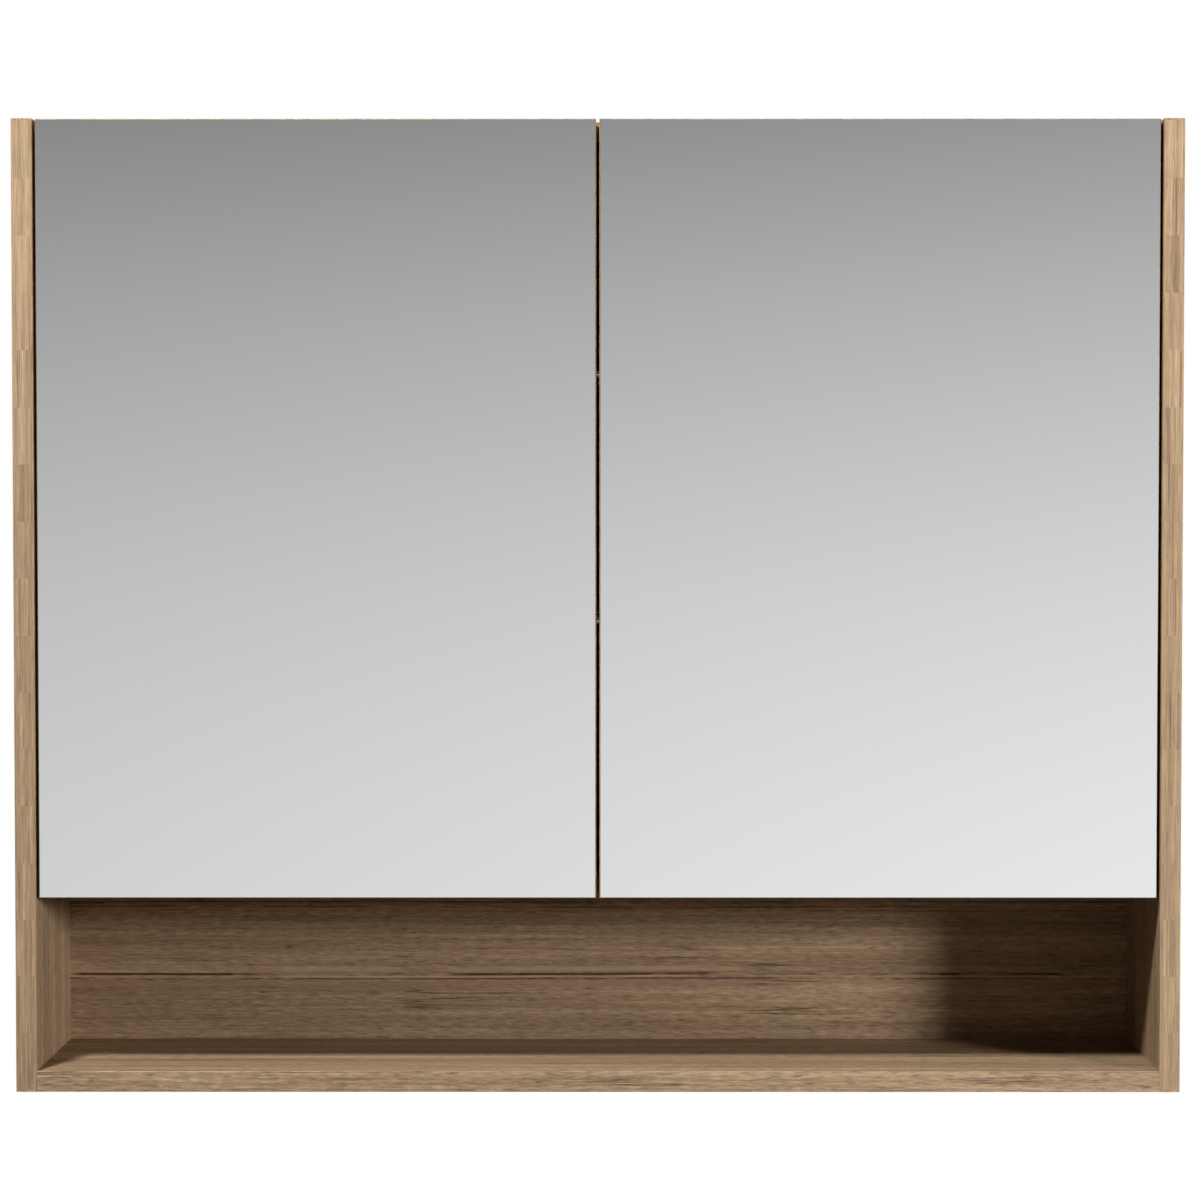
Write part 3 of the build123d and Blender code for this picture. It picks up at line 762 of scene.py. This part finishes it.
class CABINET_OT_lip_door_strips(bpy.types.Operator):
    """Bring the door edge strips forward round the mirrors as a thin bevelled lip"""

    bl_idname = "cabinet.lip_door_strips"
    bl_label = "Door strip lips"

    def execute(self, context):
        wood = context.scene.cabinet_wood
        # ABS edge strip, trimmed to a bevel: a thin tan line between mirror and gap.
        material, tree = empty_material("Door ABS lip, trimmed to a bevel")
        place = add_node(tree, "ShaderNodeTexCoord").outputs["Object"]
        finish_with(tree, wood_shader(tree, place, Z, wood, 21.0))
        for side in ("left", "right"):
            strip_low, strip_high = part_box(f"{side}_door_edging")
            mirror_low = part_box(f"{side}_mirror")[0]
            width = mirror_low[X] - strip_low[X] - LIP_PLAY
            strip_front = strip_low[Y]
            loops = []
            for inset, forward in ((0, 0), (0, LIP_SHOULDER), (width, LIP_REACH), (width, 0)):
                west, east = strip_low[X] + inset, strip_high[X] - inset
                low, high = strip_low[Z] + inset, strip_high[Z] - inset
                depth = strip_front - forward
                loops.append(
                    [(west, depth, low), (east, depth, low), (east, depth, high), (west, depth, high)]
                )
            lip = bpy.data.objects.new(f"{side}_door_lip", ring(f"{side}_door_lip", loops))
            context.scene.collection.objects.link(lip)
            lip.data.materials.append(material)
            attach(lip, f"{side}_door")
        return {"FINISHED"}


class CABINET_OT_silver_mirrors(bpy.types.Operator):
    """Silver the two door mirrors and polish their arrises"""

    bl_idname = "cabinet.silver_mirrors"
    bl_label = "Mirrors"

    def execute(self, context):
        finish = context.scene.cabinet_finish
        # Silvered float glass: a clean reflection up to the polished arris, green cut edges
        # and grey backing paint behind.
        material, tree = empty_material("Silvered float glass, polished arris")
        coordinates = add_node(tree, "ShaderNodeTexCoord")
        split = add_node(tree, "ShaderNodeSeparateXYZ", {"Vector": coordinates.outputs["Normal"]})
        wave = add_node(
            tree,
            "ShaderNodeTexNoise",
            {"Vector": coordinates.outputs["Object"], "Scale": 1000 / 240, "Detail": 1.0},
        )
        # The polished arris is so fine that it looks like the face it borders, so both are
        # shaded as if they faced straight forward.
        face_on = add_node(
            tree,
            "ShaderNodeVectorTransform",
            {"Vector": (0.0, -1.0, 0.0)},
            vector_type="NORMAL",
            convert_from="OBJECT",
            convert_to="WORLD",
        )
        ripple = add_node(
            tree,
            "ShaderNodeBump",
            {
                "Strength": 0.02,
                "Distance": 0.0002,
                "Height": wave.outputs["Fac"],
                "Normal": face_on.outputs[0],
            },
        )
        silver = add_node(
            tree,
            "ShaderNodeBsdfPrincipled",
            {
                "Base Color": opaque(finish.silver),
                "Metallic": 1.0,
                "Roughness": 0.015,
                "Normal": ripple.outputs["Normal"],
            },
        )
        cut = add_node(
            tree,
            "ShaderNodeBsdfPrincipled",
            {"Base Color": opaque(finish.glass_edge), "Roughness": 0.2, "IOR": 1.52},
        )
        backing = add_node(
            tree,
            "ShaderNodeBsdfPrincipled",
            {"Base Color": opaque(linear("#6c7377")), "Roughness": 0.55, "IOR": 1.5},
        )
        backward = split.outputs[Y]
        front = add_node(tree, "ShaderNodeMath", {0: backward, 1: -MIRROR_FRONT}, operation="LESS_THAN")
        behind = add_node(tree, "ShaderNodeMath", {0: backward, 1: GLASS_FACE}, operation="GREATER_THAN")
        sides = add_node(
            tree,
            "ShaderNodeMixShader",
            {0: behind.outputs[0], 1: cut.outputs[0], 2: backing.outputs[0]},
        )
        whole = add_node(
            tree,
            "ShaderNodeMixShader",
            {0: front.outputs[0], 1: sides.outputs[0], 2: silver.outputs[0]},
        )
        finish_with(tree, whole)
        dress(both_sides("mirror"), material)
        return {"FINISHED"}


class CABINET_OT_clear_shelves(bpy.types.Operator):
    """Make the shelves of clear glass with green edges"""

    bl_idname = "cabinet.clear_shelves"
    bl_label = "Glass shelves"

    def execute(self, context):
        finish = context.scene.cabinet_finish
        # Toughened float glass: clear through its face, deep green at the edge, where the
        # eye looks through its whole width.
        material, tree = empty_material("Toughened float glass, flat polished edge")
        coordinates = add_node(tree, "ShaderNodeTexCoord")
        split = add_node(tree, "ShaderNodeSeparateXYZ", {"Vector": coordinates.outputs["Normal"]})
        level = add_node(tree, "ShaderNodeMath", {0: split.outputs[Z]}, operation="ABSOLUTE")
        on_face = add_node(
            tree,
            "ShaderNodeMath",
            {0: level.outputs[0], 1: GLASS_FACE},
            operation="GREATER_THAN",
        )
        tint = add_node(
            tree,
            "ShaderNodeMix",
            {0: on_face.outputs[0], 6: opaque(finish.glass_edge), 7: opaque(linear("#f3faf7"))},
            data_type="RGBA",
        )
        glass = add_node(
            tree,
            "ShaderNodeBsdfPrincipled",
            {
                "Base Color": tint.outputs[2],
                "Roughness": 0.02,
                "IOR": 1.52,
                "Transmission Weight": 1.0,
            },
        )
        clear = add_node(tree, "ShaderNodeBsdfTransparent", {"Color": opaque(linear("#eef6f2"))})
        light_path = add_node(tree, "ShaderNodeLightPath")
        whole = add_node(
            tree,
            "ShaderNodeMixShader",
            {0: light_path.outputs["Is Shadow Ray"], 1: glass.outputs[0], 2: clear.outputs[0]},
        )
        finish_with(tree, whole)
        dress(["lower_glass_shelf", "upper_glass_shelf"], material)
        return {"FINISHED"}


def plated_metal(name, colour, brush_mm, mottle, roughness):
    """Plated steel: fine rolling marks under the plate and slightly clouded colour."""
    material, tree = empty_material(name)
    place = add_node(tree, "ShaderNodeTexCoord").outputs["Object"]
    marks = figure(tree, place, Z, brush_mm, brush_mm * 18, 2.0, 3.0)
    clouds = add_node(tree, "ShaderNodeTexNoise", {"Vector": place, "Scale": 1000 / 6, "Detail": 3.0})
    tone = add_node(
        tree,
        "ShaderNodeMapRange",
        {
            "Value": clouds.outputs["Fac"],
            "From Min": 0.3,
            "From Max": 0.7,
            "To Min": 1 - mottle,
            "To Max": 1.0,
        },
    )
    tinted = add_node(
        tree,
        "ShaderNodeMix",
        {0: 1.0, 6: opaque(colour), 7: tone.outputs[0]},
        data_type="RGBA",
        blend_type="MULTIPLY",
    )
    shine = add_node(
        tree,
        "ShaderNodeMapRange",
        {
            "Value": marks.outputs["Fac"],
            "From Min": 0.3,
            "From Max": 0.7,
            "To Min": roughness * 0.8,
            "To Max": roughness * 1.3,
        },
    )
    rolled = add_node(
        tree,
        "ShaderNodeBump",
        {"Strength": 0.15, "Distance": 0.00003, "Height": marks.outputs["Fac"]},
    )
    metal = add_node(
        tree,
        "ShaderNodeBsdfPrincipled",
        {
            "Base Color": tinted.outputs[2],
            "Metallic": 1.0,
            "Roughness": shine.outputs[0],
            "Normal": rolled.outputs["Normal"],
        },
    )
    finish_with(tree, metal)
    return material


class CABINET_OT_plate_hinges(bpy.types.Operator):
    """Plate the hinge cups, links, arms, plates and pins with nickel"""

    bl_idname = "cabinet.plate_hinges"
    bl_label = "Hinges"

    def execute(self, context):
        finish = context.scene.cabinet_finish
        # Nickel-plated steel, deep drawn and pressed: warm grey with a soft bright sheen.
        pressed = plated_metal("Nickel-plated steel, pressed", finish.nickel, 0.5, 0.08, 0.26)
        dress(hinge_nodes("hinge_cup", "outer_link", "inner_link", "hinge_arm", "mounting_plate"), pressed)
        # Nickel-plated steel, turned: smoother, so its highlights are tighter.
        turned = plated_metal("Nickel-plated steel, turned", finish.nickel, 0.3, 0.04, 0.18)
        dress([*both_sides("cup_pins"), "arm_pins", "shelf_pins"], turned)
        return {"FINISHED"}


class CABINET_OT_plate_fixings(bpy.types.Operator):
    """Plate the screws, cam bolts and cam housings with zinc"""

    bl_idname = "cabinet.plate_fixings"
    bl_label = "Screws and cam locks"

    def execute(self, context):
        finish = context.scene.cabinet_finish
        # Bright zinc on rolled steel: bluish, with faint clouds from the bath.
        screws = plated_metal("Zinc-plated steel, cold headed", finish.zinc, 0.35, 0.14, 0.3)
        dress(
            [*both_sides("cup_screws"), "plate_screws", "adjusting_screws", "back_screws", "cam_bolts"],
            screws,
        )
        # Zinc alloy, die cast: duller and a little grainy.
        cast = plated_metal("Zinc alloy, die cast", finish.zinc, 0.9, 0.22, 0.45)
        dress(["cam_housings"], cast)
        return {"FINISHED"}


def textured_polypropylene():
    """Finish of the cam caps."""
    # Polypropylene, moulded against a spark-eroded die: an even, fine dull grain.
    material, tree = empty_material("Polypropylene, moulded with a fine texture")
    place = add_node(tree, "ShaderNodeTexCoord").outputs["Object"]
    grain = add_node(tree, "ShaderNodeTexNoise", {"Vector": place, "Scale": 1000 / 0.6, "Detail": 2.0})
    dimple = add_node(
        tree,
        "ShaderNodeBump",
        {"Strength": 0.3, "Distance": 0.00004, "Height": grain.outputs["Fac"]},
    )
    tone = add_node(
        tree,
        "ShaderNodeMix",
        {0: grain.outputs["Fac"], 6: opaque(linear("#dcdad4")), 7: opaque(linear("#efede8"))},
        data_type="RGBA",
    )
    plastic = add_node(
        tree,
        "ShaderNodeBsdfPrincipled",
        {
            "Base Color": tone.outputs[2],
            "Roughness": 0.5,
            "IOR": 1.49,
            "Normal": dimple.outputs["Normal"],
        },
    )
    finish_with(tree, plastic)
    return material


def clear_silicone():
    """Finish of the door bumpers."""
    # Silicone rubber, moulded clear: milky, with a soft wide highlight.
    material, tree = empty_material("Silicone rubber, moulded clear")
    place = add_node(tree, "ShaderNodeTexCoord").outputs["Object"]
    haze = add_node(tree, "ShaderNodeTexNoise", {"Vector": place, "Scale": 1000 / 2.5, "Detail": 2.0})
    milk = add_node(
        tree,
        "ShaderNodeMix",
        {0: haze.outputs["Fac"], 6: opaque(linear("#dfe6e6")), 7: opaque(linear("#f1f4f3"))},
        data_type="RGBA",
    )
    rubber = add_node(
        tree,
        "ShaderNodeBsdfPrincipled",
        {
            "Base Color": milk.outputs[2],
            "Roughness": 0.35,
            "IOR": 1.41,
            "Transmission Weight": 0.6,
        },
    )
    finish_with(tree, rubber)
    return material


def slit_foam():
    """Finish of the mirror tape."""
    # Polyethylene foam tape, slit: white and dull, with open cells on its edges.
    material, tree = empty_material("Polyethylene foam, slit")
    place = add_node(tree, "ShaderNodeTexCoord").outputs["Object"]
    cells = add_node(tree, "ShaderNodeTexVoronoi", {"Vector": place, "Scale": 1000 / 0.5})
    cell_tone = add_node(
        tree,
        "ShaderNodeMix",
        {0: cells.outputs["Distance"], 6: opaque(linear("#c9c9c4")), 7: opaque(linear("#ebebe7"))},
        data_type="RGBA",
    )
    pitted = add_node(
        tree,
        "ShaderNodeBump",
        {"Strength": 0.6, "Distance": 0.0001, "Height": cells.outputs["Distance"]},
    )
    foam = add_node(
        tree,
        "ShaderNodeBsdfPrincipled",
        {
            "Base Color": cell_tone.outputs[2],
            "Roughness": 0.85,
            "IOR": 1.4,
            "Normal": pitted.outputs["Normal"],
        },
    )
    finish_with(tree, foam)
    return material


def turned_beech(colour):
    """Finish of the dowels."""
    # Beech, turned: pale tan with short dark flecks along the dowel.
    material, tree = empty_material("Beech, turned")
    place = add_node(tree, "ShaderNodeTexCoord").outputs["Object"]
    flecks = figure(tree, place, X, 0.7, 4, 1.0, 3.0)
    fleck_tone = add_node(
        tree,
        "ShaderNodeMapRange",
        {"Value": flecks.outputs["Fac"], "From Min": 0.3, "From Max": 0.7, "To Min": 0.7, "To Max": 1.1},
    )
    flecked = add_node(
        tree,
        "ShaderNodeMix",
        {0: 1.0, 6: opaque(colour), 7: fleck_tone.outputs[0]},
        data_type="RGBA",
        blend_type="MULTIPLY",
    )
    turned = add_node(
        tree,
        "ShaderNodeBsdfPrincipled",
        {"Base Color": flecked.outputs[2], "Roughness": 0.6, "IOR": 1.5},
    )
    finish_with(tree, turned)
    return material


class CABINET_OT_mould_small_parts(bpy.types.Operator):
    """Give the cam caps, bumpers, mounting tape and dowels their materials"""

    bl_idname = "cabinet.mould_small_parts"
    bl_label = "Caps, bumpers, tape and dowels"

    def execute(self, context):
        dress(["cam_caps"], textured_polypropylene())
        dress(both_sides("door_bumpers"), clear_silicone())
        dress(both_sides("mirror_tape"), slit_foam())
        dress(["dowels"], turned_beech(context.scene.cabinet_finish.beech))
        return {"FINISHED"}


# Light that the mirrors see, from low to high: sine of the direction's height, and level.
# The ramp runs from the same sine below the level to above it, and its grey is a hair blue.
ROOM_RAMP_END = 0.25
ROOM_GREY = (1.0, 1.003, 1.006)
ROOM_SHADES = (
    (-0.16, 0.8),
    (-0.134, 0.77),
    (-0.101, 0.738),
    (-0.065, 0.695),
    (-0.028, 0.643),
    (0.009, 0.58),
    (0.046, 0.509),
    (0.082, 0.437),
    (0.118, 0.358),
    (0.146, 0.298),
    (0.22, 0.25),
)


def light_room(world, sky):
    """White to the eye, graded for reflections and even for the light it gives."""
    world.use_nodes = True
    tree = world.node_tree
    tree.nodes.clear()
    direction = add_node(tree, "ShaderNodeTexCoord").outputs["Generated"]
    split = add_node(tree, "ShaderNodeSeparateXYZ", {"Vector": direction})
    height = add_node(
        tree,
        "ShaderNodeMapRange",
        {"Value": split.outputs[Z], "From Min": -ROOM_RAMP_END, "From Max": ROOM_RAMP_END},
    )
    shades = add_node(tree, "ShaderNodeValToRGB", {"Fac": height.outputs[0]})
    ramp = shades.color_ramp
    while len(ramp.elements) < len(ROOM_SHADES):
        ramp.elements.new(0.5)
    for element, (sine, level) in zip(ramp.elements, ROOM_SHADES):
        element.position = (sine + ROOM_RAMP_END) / (2 * ROOM_RAMP_END)
        element.color = opaque([level * share for share in ROOM_GREY])
    # The room is lighter towards the right.
    rightward = add_node(
        tree,
        "ShaderNodeMapRange",
        {"Value": split.outputs[X], "From Min": -0.3, "From Max": 0.3, "To Min": 0.82, "To Max": 1.18},
    )
    graded = add_node(
        tree,
        "ShaderNodeMix",
        {0: 1.0, 6: shades.outputs["Color"], 7: rightward.outputs[0]},
        data_type="RGBA",
        blend_type="MULTIPLY",
    )
    # White shows to the eye and through the glass shelves, but not to light that has
    # already been scattered by a board.
    light_path = add_node(tree, "ShaderNodeLightPath")
    straight = add_node(
        tree,
        "ShaderNodeMath",
        {0: light_path.outputs["Diffuse Depth"], 1: 0.5},
        operation="LESS_THAN",
    )
    through_glass = add_node(
        tree,
        "ShaderNodeMath",
        {0: light_path.outputs["Is Transmission Ray"], 1: straight.outputs[0]},
        operation="MULTIPLY",
    )
    seen = add_node(
        tree,
        "ShaderNodeMath",
        {0: light_path.outputs["Is Camera Ray"], 1: through_glass.outputs[0]},
        operation="MAXIMUM",
    )
    room = add_node(tree, "ShaderNodeBackground", {"Color": (sky, sky, sky, 1.0), "Strength": 1.0})
    reflected = add_node(tree, "ShaderNodeBackground", {"Color": graded.outputs[2], "Strength": 1.0})
    white = add_node(tree, "ShaderNodeBackground", {"Color": (1.0, 1.0, 1.0, 1.0), "Strength": 1.0})
    lit = add_node(
        tree,
        "ShaderNodeMixShader",
        {0: light_path.outputs["Is Glossy Ray"], 1: room.outputs[0], 2: reflected.outputs[0]},
    )
    whole = add_node(
        tree,
        "ShaderNodeMixShader",
        {0: seen.outputs[0], 1: lit.outputs[0], 2: white.outputs[0]},
    )
    add_node(tree, "ShaderNodeOutputWorld", {"Surface": whole.outputs[0]})


def lay_floor(drop):
    """Lay a wide pale floor under the cabinet, and fade it to white far out."""
    mesh = bpy.data.meshes.new("studio_floor")
    shape = bmesh.new()
    bmesh.ops.create_circle(shape, cap_ends=True, radius=FLOOR_RADIUS, segments=FLOOR_SIDES)
    bmesh.ops.translate(shape, verts=shape.verts, vec=(0.0, 0.0, BOTTOM_OF_CAD - drop))
    shape.to_mesh(mesh)
    shape.free()
    floor = bpy.data.objects.new("studio_floor", mesh)
    bpy.context.scene.collection.objects.link(floor)

    # Matt painted floor: plain pale, and it takes the cabinet's soft shadow.
    material, tree = empty_material("Matt paint, rolled")
    place = add_node(tree, "ShaderNodeTexCoord").outputs["Object"]
    paint = add_node(
        tree,
        "ShaderNodeBsdfPrincipled",
        {"Base Color": opaque(linear("#efefed")), "Roughness": 0.8, "IOR": 1.45},
    )
    white = add_node(tree, "ShaderNodeEmission", {"Color": (1.0, 1.0, 1.0, 1.0), "Strength": 1.0})
    pale = add_node(tree, "ShaderNodeEmission", {"Color": (0.8, 0.8, 0.8, 1.0), "Strength": 1.0})
    flat_place = add_node(
        tree,
        "ShaderNodeVectorMath",
        {0: place, 1: (1.0, 1.0, 0.0)},
        operation="MULTIPLY",
    )
    reach = add_node(tree, "ShaderNodeVectorMath", {0: flat_place.outputs[0]}, operation="LENGTH")
    fade = add_node(
        tree,
        "ShaderNodeMapRange",
        {
            "Value": reach.outputs["Value"],
            "From Min": FADE_START,
            "From Max": FADE_END,
            "To Min": 0.78,
            "To Max": 1.0,
        },
    )
    light_path = add_node(tree, "ShaderNodeLightPath")
    seen = add_node(
        tree,
        "ShaderNodeMath",
        {0: light_path.outputs["Is Camera Ray"], 1: light_path.outputs["Is Transmission Ray"]},
        operation="MAXIMUM",
    )
    seen_fade = add_node(
        tree,
        "ShaderNodeMath",
        {0: seen.outputs[0], 1: fade.outputs[0]},
        operation="MULTIPLY",
    )
    seen_floor = add_node(
        tree,
        "ShaderNodeMixShader",
        {0: seen_fade.outputs[0], 1: paint.outputs[0], 2: white.outputs[0]},
    )
    whole = add_node(
        tree,
        "ShaderNodeMixShader",
        {0: light_path.outputs["Is Glossy Ray"], 1: seen_floor.outputs[0], 2: pale.outputs[0]},
    )
    finish_with(tree, whole)
    mesh.materials.append(material)
    floor.visible_diffuse = False


def hang_light(name, target, travel, size, power):
    """Hang a round soft light that shines along one direction onto a target.

    The mirrors don't show it.
    """
    lamp = bpy.data.lights.new(name, "AREA")
    lamp.shape = "DISK"
    lamp.size = size
    lamp.energy = power
    light = bpy.data.objects.new(name, lamp)
    bpy.context.scene.collection.objects.link(light)
    along = Vector(travel).normalized()
    light.location = Vector(target) - along * LIGHT_DISTANCE
    light.rotation_euler = along.to_track_quat("-Z", "Y").to_euler()
    light.visible_glossy = False


class CABINET_OT_set_stage(bpy.types.Operator):
    """Set the floor, the lights and the camera"""

    bl_idname = "cabinet.set_stage"
    bl_label = "Stage"

    def execute(self, context):
        scene = context.scene
        stage = scene.cabinet_stage
        scene.view_settings.view_transform = "Standard"
        if scene.world is None:
            scene.world = bpy.data.worlds.new("studio")
        light_room(scene.world, stage.sky)
        lay_floor(stage.floor_drop)

        hang_light("key_light", NICHE_MIDDLE, KEY_TRAVEL, KEY_SIZE, stage.key_power)
        hang_light("front_light", NICHE_MIDDLE, FRONT_TRAVEL, FRONT_SIZE, stage.fill_power)
        hang_light("back_light", CABINET_MIDDLE, BACK_TRAVEL, BACK_SIZE, stage.back_power)

        camera_data = bpy.data.cameras.new("camera")
        camera_data.lens = stage.lens
        camera_data.sensor_width = SENSOR_WIDTH_MM
        camera = bpy.data.objects.new("camera", camera_data)
        scene.collection.objects.link(camera)
        camera.location = CAMERA_PLACE
        camera.rotation_euler = (math.radians(90 - CAMERA_DIP), 0.0, math.radians(CAMERA_TURN))
        scene.camera = camera
        return {"FINISHED"}


class CABINET_PT_dresser(bpy.types.Panel):
    """Lists the cabinet's steps and settings"""

    bl_idname = "CABINET_PT_dresser"
    bl_label = "Shaving cabinet"
    bl_space_type = "VIEW_3D"
    bl_region_type = "UI"
    bl_category = "Cabinet"

    def draw(self, context):
        layout = self.layout
        for operator in OPERATORS:
            layout.operator(operator.bl_idname)
        for settings in (
            context.scene.cabinet_wood,
            context.scene.cabinet_finish,
            context.scene.cabinet_stage,
        ):
            box = layout.box()
            for name in settings.bl_rna.properties.keys():
                if name not in ("rna_type", "name"):
                    box.prop(settings, name)


OPERATORS = (
    CABINET_OT_set_stage,
    CABINET_OT_dress_boards,
    CABINET_OT_dress_white_boards,
    CABINET_OT_dress_edge_strips,
    CABINET_OT_lip_door_strips,
    CABINET_OT_silver_mirrors,
    CABINET_OT_clear_shelves,
    CABINET_OT_plate_hinges,
    CABINET_OT_plate_fixings,
    CABINET_OT_mould_small_parts,
)
SETTINGS = {
    "cabinet_wood": CabinetWoodSettings,
    "cabinet_finish": CabinetFinishSettings,
    "cabinet_stage": CabinetStageSettings,
}


def register():
    for settings in SETTINGS.values():
        bpy.utils.register_class(settings)
    for name, settings in SETTINGS.items():
        setattr(bpy.types.Scene, name, bpy.props.PointerProperty(type=settings))
    for operator in OPERATORS:
        bpy.utils.register_class(operator)
    bpy.utils.register_class(CABINET_PT_dresser)


def unregister():
    bpy.utils.unregister_class(CABINET_PT_dresser)
    for operator in reversed(OPERATORS):
        bpy.utils.unregister_class(operator)
    for name in SETTINGS:
        delattr(bpy.types.Scene, name)
    for settings in reversed(SETTINGS.values()):
        bpy.utils.unregister_class(settings)


def main():
    register()
    bpy.ops.cabinet.set_stage()
    bpy.ops.cabinet.dress_boards()
    bpy.ops.cabinet.dress_white_boards()
    bpy.ops.cabinet.dress_edge_strips()
    bpy.ops.cabinet.lip_door_strips()
    bpy.ops.cabinet.silver_mirrors()
    bpy.ops.cabinet.clear_shelves()
    bpy.ops.cabinet.plate_hinges()
    bpy.ops.cabinet.plate_fixings()
    bpy.ops.cabinet.mould_small_parts()


if __name__ == "__main__":
    main()
